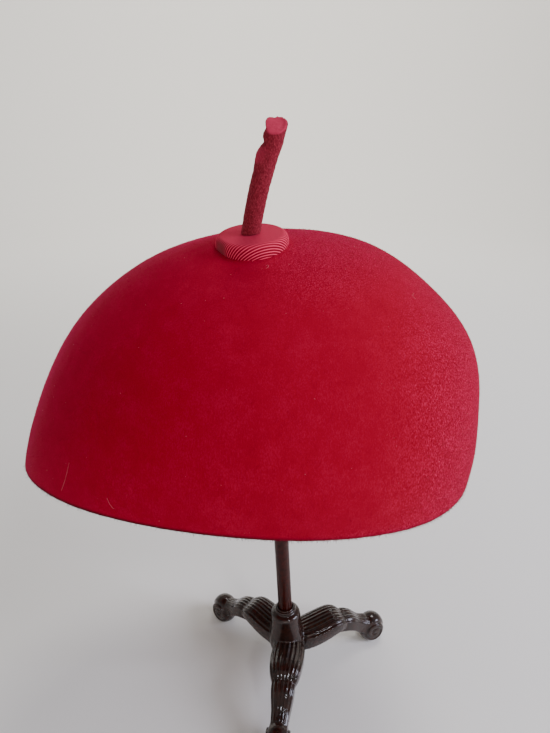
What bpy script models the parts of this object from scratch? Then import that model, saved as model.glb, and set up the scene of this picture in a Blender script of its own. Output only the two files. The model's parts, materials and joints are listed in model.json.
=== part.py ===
"""A domed felt hat with a ribbed button and a felt stalk, on a cast tripod hat stand.

The hat is one blocked felt shell with no brim. A button covered in ribbed cloth is sewn to its
crown, and a short felt stalk stands on the button. The shell rests on the plain domed cap of a
stand: a steel rod in the hub of a small cast base with three fluted, scroll-toed legs.
Metres, +Z up. The origin is on the floor, under the middle of the whole object.
"""

import math

import bmesh
import bpy
from mathutils import Matrix, Vector
from mathutils.bvhtree import BVHTree

# Clearance between pieces that touch.
SEAT_GAP = 0.0003

# The felt shell. Its rim is cut square, and lies near a plane that leans on the stand.
HAT_LENGTH = 0.2138
HAT_DEPTH = 0.1650
CROWN_HEIGHT = 0.1070
FELT_WALL = 0.0022
RIM_BEVEL = 0.0005
RIM_ARCH = 0.0040
RIM_TWIST = 0.0036
PLAN_ROUNDNESS = 2.15
HAT_LEAN_RIGHT = math.radians(1.5)
HAT_LEAN_BACK = math.radians(4.2)
RIM_HEIGHT = 0.1568
HAT_ACROSS = -0.0190
HAT_ALONG = -0.0056
CROWN_SEGMENTS = 32

# One row for each level of the block, rim first. Height is a share of CROWN_HEIGHT. Length and
# across, how far the level is drawn to the right, are shares of HAT_LENGTH. Depth and along, how
# far it is drawn to the back, are shares of HAT_DEPTH.
CROWN_COLUMNS = ("height", "length", "depth", "across", "along")
CROWN_LEVELS = (
    (0.000, 0.988, 0.978, -0.0155, 0.0010),
    (0.139, 0.972, 1.010, -0.0040, -0.0015),
    (0.309, 0.933, 1.009, 0.0075, -0.0045),
    (0.500, 0.883, 0.953, 0.0240, -0.0085),
    (0.669, 0.779, 0.844, 0.0320, -0.0120),
    (0.809, 0.620, 0.684, 0.0345, -0.0150),
    (0.906, 0.470, 0.501, 0.0400, -0.0165),
    (0.966, 0.306, 0.309, 0.0485, -0.0145),
    (0.993, 0.146, 0.146, 0.0545, -0.0125),
    (1.000, 0.000, 0.000, 0.0585, -0.0115),
)

# The button, a padded disc under ribbed cloth.
BUTTON_DIAMETER = 0.0286
BUTTON_HEIGHT = 0.0043
BUTTON_EDGE_ROUND = 0.0024
BUTTON_TOP_RISE = 0.0003
BUTTON_ACROSS = -0.0189
BUTTON_ALONG = -0.0235
BUTTON_LEAN_FORWARD = math.radians(9.5)
BUTTON_LEAN_LEFT = math.radians(3.0)

# The stalk, a strip of felt rolled tight, bent and cut off at a slant.
STALK_DIAMETER = 0.0073
STALK_LENGTH = 0.0402
STALK_CUT_SLANT = math.radians(33.0)

# One row for each station of the stalk, foot first. Up, right and back are shares of STALK_LENGTH,
# and girth is a share of STALK_DIAMETER.
STALK_COLUMNS = ("up", "right", "back", "girth")
STALK_STATIONS = (
    (-0.080, -0.012, 0.000, 1.12),
    (0.015, -0.004, 0.000, 1.05),
    (0.110, 0.016, -0.008, 1.04),
    (0.260, 0.056, -0.022, 1.06),
    (0.420, 0.098, -0.038, 1.05),
    (0.560, 0.146, -0.052, 1.05),
    (0.670, 0.180, -0.062, 1.09),
    (0.760, 0.214, -0.072, 1.07),
    (0.830, 0.252, -0.082, 0.97),
    (0.890, 0.264, -0.088, 1.04),
    (0.940, 0.276, -0.095, 0.99),
    (1.080, 0.308, -0.108, 0.96),
)

# The stand. Its hub and rod lean a little to the left, about a point low in the hub.
LEAN_LEFT = math.radians(2.9)
LEAN_PIVOT = 0.0128
HUB_ACROSS = -0.0022
ROD_DIAMETER = 0.0080
CAP_DIAMETER = 0.094
CAP_HEIGHT = 0.029
CAP_RIM = 0.005
CAP_SOCKET_DEPTH = 0.0155
HUB_TOP = 0.0453
HUB_FLOOR = 0.0120
HUB_DIAMETER = 0.0210
BORE_FLOOR = 0.0188
ROD_BORE_GAP = 0.0005
ROD_SOCKET_GAP = 0.0003

# One row for each point down the hub's side. Radius is a share of half HUB_DIAMETER, and level a
# share of the height from HUB_FLOOR to HUB_TOP.
HUB_COLUMNS = ("radius", "level")
HUB_PROFILE = (
    (0.50, 1.000),
    (0.56, 0.990),
    (0.57, 0.965),
    (0.53, 0.945),
    (0.60, 0.930),
    (0.74, 0.905),
    (0.82, 0.860),
    (0.83, 0.780),
    (0.84, 0.700),
    (0.87, 0.600),
    (0.92, 0.480),
    (1.00, 0.340),
    (1.00, 0.160),
    (0.80, 0.000),
)

LEG_COUNT = 3
LEG_TURN = math.radians(-8.8)
TOE_REACH = 0.0554
LEG_HEIGHT = 0.0359
LEG_WIDTH = 0.0206
LEG_SQUARENESS = 3.0
LEG_SHOULDER = 0.62
FLUTE_DEPTH = 0.0007
FLUTE_EVENNESS = 0.75
TOE_LENGTH = 0.0168
TOE_WIDTH = 0.0162
TOE_HEIGHT = 0.0194
TOE_FLAT = 0.0013
TOE_EYE_DIAMETER = 0.0073
TOE_EYE_DEPTH = 0.0014

# One row for each section of a leg, hub end first. Reach is a share of TOE_REACH, top and deep are
# shares of LEG_HEIGHT, and width is a share of LEG_WIDTH.
LEG_COLUMNS = ("reach", "top", "deep", "width")
LEAF_FLUTES = 9
LEAF_SECTIONS = (
    (0.070, 0.720, 0.36, 0.60),
    (0.155, 0.760, 0.31, 0.94),
    (0.260, 0.785, 0.30, 1.00),
    (0.370, 0.825, 0.30, 1.00),
    (0.470, 0.855, 0.28, 0.95),
    (0.550, 0.830, 0.24, 0.87),
    (0.615, 0.745, 0.15, 0.70),
)
SHIN_FLUTES = 7
SHIN_SECTIONS = (
    (0.450, 0.660, 0.14, 0.58),
    (0.560, 0.735, 0.22, 0.69),
    (0.650, 0.745, 0.26, 0.71),
    (0.730, 0.705, 0.28, 0.66),
    (0.795, 0.610, 0.28, 0.58),
    (0.850, 0.540, 0.27, 0.53),
    (0.930, 0.500, 0.27, 0.50),
)

FELT_RED = (0.30, 0.0, 0.018, 1.0)
RIB_RED = (0.42, 0.025, 0.06, 1.0)
STALK_RED = (0.22, 0.02, 0.03, 1.0)
ENAMEL_BROWN = (0.012, 0.009, 0.009, 1.0)
ROD_BROWN = (0.03, 0.009, 0.006, 1.0)
WOOD_TAN = (0.36, 0.22, 0.11, 1.0)


def clear_scene():
    """Removes what is in the scene."""
    for found in list(bpy.data.objects):
        bpy.data.objects.remove(found, do_unlink=True)


def new_collection(name, hidden=False):
    collection = bpy.data.collections.new(name)
    collection.hide_render = hidden
    bpy.context.scene.collection.children.link(collection)
    return collection


def material(name, colour, roughness, metallic=0.0):
    """A Principled material of one colour."""
    made = bpy.data.materials.new(name)
    made.use_nodes = True
    made.diffuse_color = colour
    shader = made.node_tree.nodes["Principled BSDF"]
    shader.inputs["Base Color"].default_value = colour
    shader.inputs["Roughness"].default_value = roughness
    shader.inputs["Metallic"].default_value = metallic
    return made


def named_rows(columns, rows):
    """The rows of a table as dictionaries, so that each value is read by its column's name."""
    return [dict(zip(columns, row)) for row in rows]


def new_object(name, mesh, collection, finish=None):
    made = bpy.data.objects.new(name, mesh)
    collection.objects.link(made)
    if finish is not None:
        mesh.materials.append(finish)
    return made


def mesh_of_rings(name, rings, apex=None):
    """A loft through rings of as many points each. With an apex it is an open dome over the
    first ring, and without one both its ends are flat."""
    built = bmesh.new()
    rows = [[built.verts.new(point) for point in ring] for ring in rings]
    count = len(rings[0])
    for low, high in zip(rows, rows[1:]):
        for index in range(count):
            after = (index + 1) % count
            built.faces.new((low[index], low[after], high[after], high[index]))
    if apex is None:
        built.faces.new(list(reversed(rows[0])))
        built.faces.new(rows[-1])
        bmesh.ops.recalc_face_normals(built, faces=built.faces)
    else:
        top = built.verts.new(apex)
        for index in range(count):
            built.faces.new((rows[-1][index], rows[-1][(index + 1) % count], top))
    mesh = bpy.data.meshes.new(name)
    built.to_mesh(mesh)
    built.free()
    mesh.shade_smooth()
    return mesh


def turned(name, profile, steps, collection, finish=None):
    """A solid of revolution. The profile is (radius, height) down the outer side, axis to axis."""
    mesh = bpy.data.meshes.new(name)
    points = [(radius, 0.0, height) for radius, height in profile]
    edges = [(index, index + 1) for index in range(len(points) - 1)]
    mesh.from_pydata(points, edges, [])
    made = new_object(name, mesh, collection, finish)
    screw = made.modifiers.new("Turn", "SCREW")
    screw.steps = steps
    screw.render_steps = steps
    screw.use_merge_vertices = True
    screw.merge_threshold = 0.00001
    screw.use_smooth_shade = True
    return made


def cut(target, cutter, name, operation="DIFFERENCE"):
    boolean = target.modifiers.new(name, "BOOLEAN")
    boolean.operation = operation
    boolean.object = cutter
    boolean.solver = "EXACT"


def hide_cutter(cutter):
    cutter.hide_render = True
    cutter.display_type = "WIRE"


def evaluated_mesh(source):
    """A plain mesh of the object with its modifiers applied, still in the object's own space."""
    bpy.context.view_layer.update()
    graph = bpy.context.evaluated_depsgraph_get()
    return bpy.data.meshes.new_from_object(source.evaluated_get(graph))


def bake(source):
    """Turns the object's modifiers into its own mesh, so that it can be cut again or measured."""
    mesh = evaluated_mesh(source)
    built = bmesh.new()
    built.from_mesh(mesh)
    bmesh.ops.remove_doubles(built, verts=built.verts, dist=0.000001)
    built.to_mesh(mesh)
    built.free()
    source.modifiers.clear()
    source.data = mesh


def surface_tree(source):
    """A search tree over the object's surface in world space."""
    bpy.context.view_layer.update()
    graph = bpy.context.evaluated_depsgraph_get()
    built = bmesh.new()
    built.from_object(source, graph)
    built.transform(source.matrix_world)
    tree = BVHTree.FromBMesh(built)
    built.free()
    return tree


def empty(name, collection, location=(0, 0, 0), rotation=(0, 0, 0), parent=None):
    made = bpy.data.objects.new(name, None)
    collection.objects.link(made)
    made.location = location
    made.rotation_euler = rotation
    made.parent = parent
    return made


# The crown


def rounded(value):
    """One axis of a superellipse: a sine or cosine pushed out a little towards the corners."""
    return math.copysign(abs(value) ** (2.0 / PLAN_ROUNDNESS), value)


def crown_rings():
    """The rings of the felt's cage. Subdivision pulls a cage in, so the cage stands outside."""
    around = 2.0 * math.pi / CROWN_SEGMENTS
    up = 0.5 * math.pi / (len(CROWN_LEVELS) - 1)
    swell_around = 3.0 / (2.0 + math.cos(around))
    swell_up = 3.0 / (2.0 + math.cos(up))
    rings = []
    for row in named_rows(CROWN_COLUMNS, CROWN_LEVELS):
        share = row["height"]
        swell = swell_around * (swell_up if share > 0 else 1.0)
        ring = []
        for index in range(CROWN_SEGMENTS):
            angle = index * around
            side = rounded(math.cos(angle))
            back = rounded(math.sin(angle))
            lift = RIM_ARCH * math.sin(angle) ** 2 + RIM_TWIST * math.sin(2.0 * angle)
            ring.append(
                Vector(
                    (
                        HAT_LENGTH * (0.5 * swell * row["length"] * side + row["across"]),
                        HAT_DEPTH * (0.5 * swell * row["depth"] * back + row["along"]),
                        CROWN_HEIGHT * share * swell_up + lift * (1.0 - share) ** 2,
                    )
                )
            )
        rings.append(ring)
    return rings


def build_crown(collection, finish, parent):
    """The felt shell: a coarse cage made smooth, given a wall, with the cut rim just eased."""
    rings = crown_rings()
    mesh = mesh_of_rings("felt_crown", rings[:-1], apex=rings[-1][0])
    crown = new_object("felt_crown", mesh, collection, finish)
    crown.parent = parent
    smooth = crown.modifiers.new("Blocked", "SUBSURF")
    smooth.levels = 1
    smooth.render_levels = 1
    wall = crown.modifiers.new("Felt", "SOLIDIFY")
    wall.thickness = FELT_WALL
    wall.offset = -1.0
    wall.use_even_offset = True
    ease = crown.modifiers.new("Cut rim", "BEVEL")
    ease.width = RIM_BEVEL
    ease.segments = 1
    ease.limit_method = "ANGLE"
    ease.angle_limit = math.radians(60.0)
    return crown


def build_crown_clearance(crown, cutters):
    """The felt swollen by the seat gap on both faces, which cuts what lies against it."""
    mesh = crown.data.copy()
    swollen = new_object("felt_clearance", mesh, cutters)
    swollen.parent = crown.parent
    smooth = swollen.modifiers.new("Blocked", "SUBSURF")
    smooth.levels = 1
    smooth.render_levels = 1
    wall = swollen.modifiers.new("Felt", "SOLIDIFY")
    wall.thickness = FELT_WALL + 2.0 * SEAT_GAP
    wall.offset = -FELT_WALL / (FELT_WALL + 2.0 * SEAT_GAP)
    wall.use_even_offset = True
    hide_cutter(swollen)
    return swollen


# The button and its stalk


def button_seat(crown):
    """The point of the crown's outside under the middle of the button, in world space."""
    tree = surface_tree(crown)
    above = Vector((BUTTON_ACROSS, BUTTON_ALONG, RIM_HEIGHT + 2.0 * CROWN_HEIGHT))
    return tree.ray_cast(above, Vector((0.0, 0.0, -1.0)))[0]


def button_profile():
    """Half the button's section, from the middle of its top to the middle of its underside."""
    radius = 0.5 * BUTTON_DIAMETER
    flat = radius - BUTTON_EDGE_ROUND
    shoulder = BUTTON_HEIGHT - BUTTON_EDGE_ROUND
    profile = [(0.0, BUTTON_HEIGHT), (0.45 * radius, BUTTON_HEIGHT)]
    for step in range(5):
        angle = 0.5 * math.pi * step / 4.0
        profile.append(
            (
                flat + BUTTON_EDGE_ROUND * math.sin(angle),
                shoulder + (BUTTON_EDGE_ROUND - BUTTON_TOP_RISE) * math.cos(angle),
            )
        )
    below = -0.5 * BUTTON_HEIGHT
    profile.append((0.99 * radius, below))
    profile.append((0.0, below))
    return profile


def build_button(collection, finish, seat, clearance):
    """The disc. Its underside is cut to the crown that it is sewn on."""
    button = turned("ribbed_button", button_profile(), 40, collection, finish)
    button.parent = seat
    cut(button, clearance, "Sewn to the crown")
    return button


def drop_inner_scrap(button):
    """Keeps the piece of the cut button that lies outside the felt."""
    bake(button)
    built = bmesh.new()
    built.from_mesh(button.data)
    left = set(built.verts)
    groups = []
    while left:
        group = set()
        waiting = [left.pop()]
        while waiting:
            vert = waiting.pop()
            group.add(vert)
            for edge in vert.link_edges:
                other = edge.other_vert(vert)
                if other in left:
                    left.discard(other)
                    waiting.append(other)
        groups.append(group)
    groups.sort(key=lambda found: max(vert.co.z for vert in found))
    for group in groups[:-1]:
        bmesh.ops.delete(built, geom=list(group), context="VERTS")
    built.to_mesh(button.data)
    built.free()
    button.data.shade_smooth()


def slab(name, collection, parent, size, location, rotation=(0.0, 0.0, 0.0)):
    """A box that cuts a flat end. Its scale is in its mesh."""
    mesh = bpy.data.meshes.new(name)
    built = bmesh.new()
    bmesh.ops.create_cube(built, size=1.0, matrix=Matrix.Diagonal((*size, 1.0)))
    built.to_mesh(mesh)
    built.free()
    made = new_object(name, mesh, collection)
    made.parent = parent
    made.location = location
    made.rotation_euler = rotation
    hide_cutter(made)
    return made


def build_stalk(collection, cutters, finish, seat):
    """The stalk follows its stations on one smooth curve, and is cut at the foot and the tip."""
    curve = bpy.data.curves.new("felt_stalk", "CURVE")
    curve.dimensions = "3D"
    curve.bevel_depth = 0.5 * STALK_DIAMETER
    curve.bevel_resolution = 2
    curve.resolution_u = 2
    curve.use_fill_caps = True
    stations = named_rows(STALK_COLUMNS, STALK_STATIONS)
    spline = curve.splines.new("NURBS")
    spline.points.add(len(stations) - 1)
    for point, row in zip(spline.points, stations):
        point.co = (
            STALK_LENGTH * row["right"],
            STALK_LENGTH * row["back"],
            BUTTON_HEIGHT + STALK_LENGTH * row["up"],
            1.0,
        )
        point.radius = row["girth"]
    spline.order_u = 3
    spline.use_endpoint_u = True
    guide = bpy.data.objects.new("stalk_guide", curve)
    collection.objects.link(guide)
    mesh = evaluated_mesh(guide)
    bpy.data.objects.remove(guide, do_unlink=True)
    built = bmesh.new()
    built.from_mesh(mesh)
    bmesh.ops.remove_doubles(built, verts=built.verts, dist=0.000001)
    bmesh.ops.recalc_face_normals(built, faces=built.faces)
    built.to_mesh(mesh)
    built.free()
    mesh.materials.clear()
    mesh.shade_smooth()
    mesh.set_sharp_from_angle(angle=math.radians(50.0))
    stalk = new_object("felt_stalk", mesh, collection, finish)
    stalk.parent = seat
    side = 4.0 * STALK_DIAMETER
    foot = slab(
        "stalk_foot_cut",
        cutters,
        seat,
        (side, side, side),
        (0.0, 0.0, BUTTON_HEIGHT + SEAT_GAP - 0.5 * side),
    )
    tip_row = stations[-2]
    tip = Vector(
        (
            STALK_LENGTH * tip_row["right"],
            STALK_LENGTH * tip_row["back"],
            BUTTON_HEIGHT + STALK_LENGTH,
        )
    )
    tip_cut = slab(
        "stalk_tip_cut",
        cutters,
        seat,
        (side, side, side),
        tip + Matrix.Rotation(STALK_CUT_SLANT, 3, "X") @ Vector((0.0, 0.0, 0.5 * side)),
        (STALK_CUT_SLANT, 0.0, 0.0),
    )
    cut(stalk, foot, "Foot")
    cut(stalk, tip_cut, "Tip")
    return stalk


# The stand


def cap_profile():
    """Half the cap's section: a low dome, a short upright rim and a flat underside."""
    radius = 0.5 * CAP_DIAMETER
    rise = CAP_HEIGHT - CAP_RIM
    steps = 8
    profile = []
    for step in range(steps + 1):
        angle = 0.5 * math.pi * step / steps
        profile.append((radius * math.sin(angle), rise * math.cos(angle) - rise))
    profile.append((radius, -CAP_HEIGHT))
    profile.append((0.0, -CAP_HEIGHT))
    return profile


def cap_top(crown, axis):
    """How far up the rod's axis the cap stands when it just carries the felt."""
    tree = surface_tree(crown)
    place = axis.matrix_world
    up = (place.to_3x3() @ Vector((0.0, 0.0, 1.0))).normalized()
    lowest = math.inf
    for radius, drop in cap_profile()[:-2]:
        for step in range(24):
            angle = 2.0 * math.pi * step / 24
            foot = Vector((radius * math.cos(angle), radius * math.sin(angle), RIM_HEIGHT))
            clear = tree.ray_cast(place @ foot, up)[3]
            if clear is not None:
                lowest = min(lowest, foot.z + clear - drop)
    return lowest - SEAT_GAP


def build_cap(collection, cutters, finish, parent, top):
    cap = turned("stand_cap", cap_profile(), 40, collection, finish)
    cap.parent = parent
    cap.location = (0.0, 0.0, top)
    socket_radius = 0.5 * ROD_DIAMETER + ROD_SOCKET_GAP
    socket = turned(
        "cap_socket",
        (
            (0.0, CAP_SOCKET_DEPTH),
            (socket_radius, CAP_SOCKET_DEPTH),
            (socket_radius, -CAP_SOCKET_DEPTH),
            (0.0, -CAP_SOCKET_DEPTH),
        ),
        24,
        cutters,
    )
    socket.parent = parent
    socket.location = (0.0, 0.0, top - CAP_HEIGHT)
    hide_cutter(socket)
    cut(cap, socket, "Rod socket")
    return cap


def build_rod(collection, finish, parent, cap_height):
    low = BORE_FLOOR - LEAN_PIVOT + SEAT_GAP
    high = cap_height - CAP_HEIGHT + CAP_SOCKET_DEPTH - SEAT_GAP
    radius = 0.5 * ROD_DIAMETER
    rod = turned(
        "stand_rod",
        ((0.0, high), (radius, high), (radius, low), (0.0, low)),
        24,
        collection,
        finish,
    )
    rod.modifiers["Turn"].use_smooth_shade = False
    rod.parent = parent
    return rod


def leg_section(row, flutes):
    """One upright section of a leg, looking out along it: ribs over the top, plain underneath."""
    half = 0.5 * LEG_WIDTH * row["width"]
    top = LEG_HEIGHT * row["top"]
    deep = LEG_HEIGHT * row["deep"]
    shoulder = LEG_SHOULDER * deep
    points = []
    steps = 2 * flutes
    for step in range(steps + 1):
        even = 2.0 * step / steps - 1.0
        side = FLUTE_EVENNESS * even + (1.0 - FLUTE_EVENNESS) * math.sin(0.5 * math.pi * even)
        rib = 0.0 if step % 2 else -FLUTE_DEPTH
        over = (1.0 - abs(side) ** LEG_SQUARENESS) ** (1.0 / LEG_SQUARENESS)
        points.append(((half + rib) * side, top - shoulder + (shoulder + rib) * over))
    for share in (0.88, 0.3, -0.3, -0.88):
        points.append((half * share, top - deep))
    return points


def leg_loft(name, sections, flutes, cutters):
    rings = []
    for row in named_rows(LEG_COLUMNS, sections):
        reach = TOE_REACH * row["reach"]
        rings.append([Vector((reach, side, level)) for side, level in leg_section(row, flutes)])
    return new_object(name, mesh_of_rings(name, rings), cutters)


def toe_ball(name, cutters):
    """The scroll at the end of a leg: a ball, dished on both sides and ground flat underneath."""
    mesh = bpy.data.meshes.new(name)
    built = bmesh.new()
    place = Matrix.Translation((TOE_REACH, 0.0, 0.5 * TOE_HEIGHT - TOE_FLAT))
    squash = Matrix.Diagonal((0.5 * TOE_LENGTH, 0.5 * TOE_WIDTH, 0.5 * TOE_HEIGHT, 1.0))
    lie = Matrix.Rotation(0.5 * math.pi, 4, "X")
    bmesh.ops.create_uvsphere(
        built, u_segments=16, v_segments=10, radius=1.0, matrix=place @ squash @ lie
    )
    middle = place.translation
    for vert in built.verts:
        away = vert.co - middle
        off_axis = math.hypot(away.x, away.z)
        if off_axis < 0.5 * TOE_EYE_DIAMETER:
            vert.co.y -= math.copysign(TOE_EYE_DEPTH, away.y)
        vert.co.z = max(vert.co.z, 0.0)
    built.to_mesh(mesh)
    built.free()
    return new_object(name, mesh, cutters)


def build_base(collection, cutters, finish, parent, axis):
    """The casting: a leaning hub and three level legs as one solid, bored for the rod."""
    rise = HUB_TOP - HUB_FLOOR
    floor = HUB_FLOOR - LEAN_PIVOT
    radius = 0.5 * HUB_DIAMETER
    profile = [(0.0, floor + rise)]
    for row in named_rows(HUB_COLUMNS, HUB_PROFILE):
        profile.append((radius * row["radius"], floor + rise * row["level"]))
    profile.append((0.0, floor))
    base = turned("stand_base", profile, 32, collection, finish)
    base.parent = axis
    for index in range(LEG_COUNT):
        angle = math.radians(30.0) + LEG_TURN + index * 2.0 * math.pi / LEG_COUNT
        pieces = (
            leg_loft(f"leaf_{index}", LEAF_SECTIONS, LEAF_FLUTES, cutters),
            leg_loft(f"shin_{index}", SHIN_SECTIONS, SHIN_FLUTES, cutters),
            toe_ball(f"toe_{index}", cutters),
        )
        for piece in pieces:
            piece.parent = parent
            piece.rotation_euler = (0.0, 0.0, angle)
            hide_cutter(piece)
            cut(base, piece, "Add " + piece.name, "UNION")
    bore_radius = 0.5 * ROD_DIAMETER + ROD_BORE_GAP
    bore = turned(
        "hub_bore",
        (
            (0.0, 2.0 * HUB_TOP),
            (bore_radius, 2.0 * HUB_TOP),
            (bore_radius, BORE_FLOOR - LEAN_PIVOT),
            (0.0, BORE_FLOOR - LEAN_PIVOT),
        ),
        24,
        cutters,
    )
    bore.parent = axis
    hide_cutter(bore)
    cut(base, bore, "Bore")
    return base


def centre_over_floor(root, parts):
    """Moves the whole so that the origin is on the floor under the middle of its box."""
    bpy.context.view_layer.update()
    graph = bpy.context.evaluated_depsgraph_get()
    low = Vector((math.inf,) * 3)
    high = Vector((-math.inf,) * 3)
    for part in parts:
        shape = part.evaluated_get(graph)
        mesh = shape.to_mesh()
        for vert in mesh.vertices:
            point = shape.matrix_world @ vert.co
            low = Vector(map(min, low, point))
            high = Vector(map(max, high, point))
        shape.to_mesh_clear()
    root.location = (-0.5 * (low.x + high.x), -0.5 * (low.y + high.y), -low.z)


def main():
    clear_scene()
    parts = new_collection("felt_hat_on_stand")
    cutters = new_collection("cutters", hidden=True)
    felt = material("red_felt", FELT_RED, 0.95)
    ribbed = material("ribbed_cloth", RIB_RED, 0.6)
    rolled = material("rolled_felt", STALK_RED, 0.95)
    enamel = material("black_brown_enamel", ENAMEL_BROWN, 0.2)
    lacquer = material("brown_lacquered_steel", ROD_BROWN, 0.2, 0.4)
    wood = material("plain_wood", WOOD_TAN, 0.6)

    root = empty("stand_foot", parts)
    axis = empty(
        "rod_axis", parts, (HUB_ACROSS, 0.0, LEAN_PIVOT), (0.0, -LEAN_LEFT, 0.0), root
    )
    hat = empty(
        "hat_seat",
        parts,
        (HAT_ACROSS, HAT_ALONG, RIM_HEIGHT),
        (-HAT_LEAN_BACK, HAT_LEAN_RIGHT, 0.0),
        root,
    )
    crown = build_crown(parts, felt, hat)
    clearance = build_crown_clearance(crown, cutters)
    seat = empty(
        "button_seat", parts, button_seat(crown), (BUTTON_LEAN_FORWARD, -BUTTON_LEAN_LEFT, 0.0), root
    )
    button = build_button(parts, ribbed, seat, clearance)
    drop_inner_scrap(button)
    stalk = build_stalk(parts, cutters, rolled, seat)
    top = cap_top(crown, axis)
    cap = build_cap(parts, cutters, wood, axis, top)
    rod = build_rod(parts, lacquer, axis, top)
    base = build_base(parts, cutters, enamel, root, axis)
    centre_over_floor(root, (crown, button, stalk, cap, rod, base))


main()
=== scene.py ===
# %% [markdown]
# # A felt hat on its stand
#
# This lesson dresses a felt hat and the small cast stand that holds it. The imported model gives
# the real sizes and places. Every cell takes its numbers from that model, or names a size in
# millimetres, so that a new size of hat carries through.

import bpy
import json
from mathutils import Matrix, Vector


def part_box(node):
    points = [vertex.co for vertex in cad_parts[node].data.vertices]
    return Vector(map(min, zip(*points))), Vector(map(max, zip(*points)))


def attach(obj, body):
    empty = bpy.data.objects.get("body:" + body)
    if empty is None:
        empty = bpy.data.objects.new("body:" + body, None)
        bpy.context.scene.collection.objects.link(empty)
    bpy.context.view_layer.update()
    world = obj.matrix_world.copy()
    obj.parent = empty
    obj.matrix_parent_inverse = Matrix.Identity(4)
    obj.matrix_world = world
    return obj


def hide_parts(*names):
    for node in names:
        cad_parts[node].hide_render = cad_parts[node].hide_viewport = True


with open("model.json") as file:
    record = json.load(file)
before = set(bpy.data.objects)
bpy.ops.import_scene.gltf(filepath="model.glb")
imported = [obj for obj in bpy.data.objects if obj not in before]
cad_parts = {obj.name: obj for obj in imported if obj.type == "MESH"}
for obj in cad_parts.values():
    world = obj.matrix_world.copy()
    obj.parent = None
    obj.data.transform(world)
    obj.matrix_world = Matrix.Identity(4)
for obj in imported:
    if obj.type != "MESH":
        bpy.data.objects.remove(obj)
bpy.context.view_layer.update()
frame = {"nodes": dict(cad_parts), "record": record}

# %% Libraries and units
import json
import math

import bmesh
import bpy
import numpy as np
from mathutils import Matrix, Vector, kdtree, noise
from mathutils.bvhtree import BVHTree

MM = 0.001
SEED = 11

# %% [markdown]
# ## Tools that the cells share
#
# Colours are written as they look on a screen and turned into light once, in one place. One
# helper adds any shader or geometry node, links what is a socket and sets what is a value.

# %% Colours and nodes
def srgb(code):
    """A hex colour as Blender's linear red, green, blue and alpha."""
    parts = [int(code[start : start + 2], 16) / 255.0 for start in (1, 3, 5)]
    linear = [
        part / 12.92 if part <= 0.04045 else ((part + 0.055) / 1.055) ** 2.4 for part in parts
    ]
    return (*linear, 1.0)


def add(tree, kind, inputs=None, **settings):
    """Adds a node with its settings. A socket given as an input is linked, and a value is set."""
    made = tree.nodes.new(kind)
    for name, value in settings.items():
        setattr(made, name, value)
    for name, value in (inputs or {}).items():
        if isinstance(value, bpy.types.NodeSocket):
            tree.links.new(value, made.inputs[name])
        else:
            made.inputs[name].default_value = value
    return made


# %% Patterns
def ramp(tree, factor, stops):
    """A colour ramp through (position, hex colour) stops."""
    made = add(tree, "ShaderNodeValToRGB", {"Fac": factor})
    while len(made.color_ramp.elements) < len(stops):
        made.color_ramp.elements.new(0.5)
    for element, (position, code) in zip(made.color_ramp.elements, stops):
        element.position = position
        element.color = srgb(code)
    return made.outputs["Color"]


def grains(tree, place, size, detail=3.0, roughness=0.6):
    """Noise with lumps of the given size."""
    values = {"Vector": place, "Scale": 1.0 / size, "Detail": detail, "Roughness": roughness}
    return add(tree, "ShaderNodeTexNoise", values).outputs["Fac"]


def blend(tree, factor, first, second):
    """Two colours mixed by a factor."""
    values = {0: factor, 6: first, 7: second}
    return add(tree, "ShaderNodeMix", values, data_type="RGBA").outputs[2]


# %% Materials
def material(name, **sockets):
    """A new material: its tree, its shader with the given sockets set, and Object coordinates."""
    made = bpy.data.materials.new(name)
    made.use_nodes = True
    tree = made.node_tree
    shader = tree.nodes["Principled BSDF"]
    for socket, value in sockets.items():
        shader.inputs[socket.replace("_", " ")].default_value = value
    place = add(tree, "ShaderNodeTexCoord").outputs["Object"]
    return made, tree, shader, place


def surface(tree, shader, colour, height, depth, strength=0.6):
    """Gives the shader its colour and a bump from a height."""
    bump = {"Strength": strength, "Distance": depth, "Height": height}
    tree.links.new(colour, shader.inputs["Base Color"])
    tree.links.new(add(tree, "ShaderNodeBump", bump).outputs["Normal"], shader.inputs["Normal"])


# %% [markdown]
# ## From CAD nodes to fine meshes
#
# A CAD node is a coarse mesh of loose triangles. It could be shown as it is, but flat facets
# catch the light one by one. So each piece starts from a copy with its triangles joined, and
# modifiers or geometry nodes finish it. The result is always turned into a plain mesh, because
# only a plain mesh is exported.

# %% Meshes
def new_object(name, mesh, finish):
    made = bpy.data.objects.new(name, mesh)
    bpy.context.scene.collection.objects.link(made)
    mesh.materials.clear()
    mesh.materials.append(finish)
    return made


def to_mesh(built, name):
    mesh = bpy.data.meshes.new(name)
    built.to_mesh(mesh)
    built.free()
    return mesh


def merged_copy(node):
    """A CAD node's mesh with its loose triangles joined up. The node itself isn't changed."""
    built = bmesh.new()
    built.from_mesh(frame["nodes"][node].data)
    bmesh.ops.remove_doubles(built, verts=built.verts, dist=0.002 * MM)
    return built


# %% Modifiers and trees, made plain
def applied(shape, *modifiers):
    """Adds modifiers, each (type, settings), and turns the result into the object's plain mesh."""
    finish = shape.data.materials[0]
    for kind, settings in modifiers:
        modifier = shape.modifiers.new(kind.title(), kind)
        for name, value in settings.items():
            setattr(modifier, name, value)
    bpy.context.view_layer.update()
    graph = bpy.context.evaluated_depsgraph_get()
    mesh = bpy.data.meshes.new_from_object(shape.evaluated_get(graph))
    shape.modifiers.clear()
    shape.data = mesh
    mesh.materials.clear()
    mesh.materials.append(finish)
    return shape


def run_tree(shape, tree, values):
    """Runs geometry nodes on an object with its inputs set, and keeps the plain mesh."""
    modifier = shape.modifiers.new(tree.name, "NODES")
    modifier.node_group = tree
    for item in tree.interface.items_tree:
        if item.in_out == "INPUT" and item.name in values:
            modifier[item.identifier] = values[item.name]
    shape.update_tag()
    return applied(shape)


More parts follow.
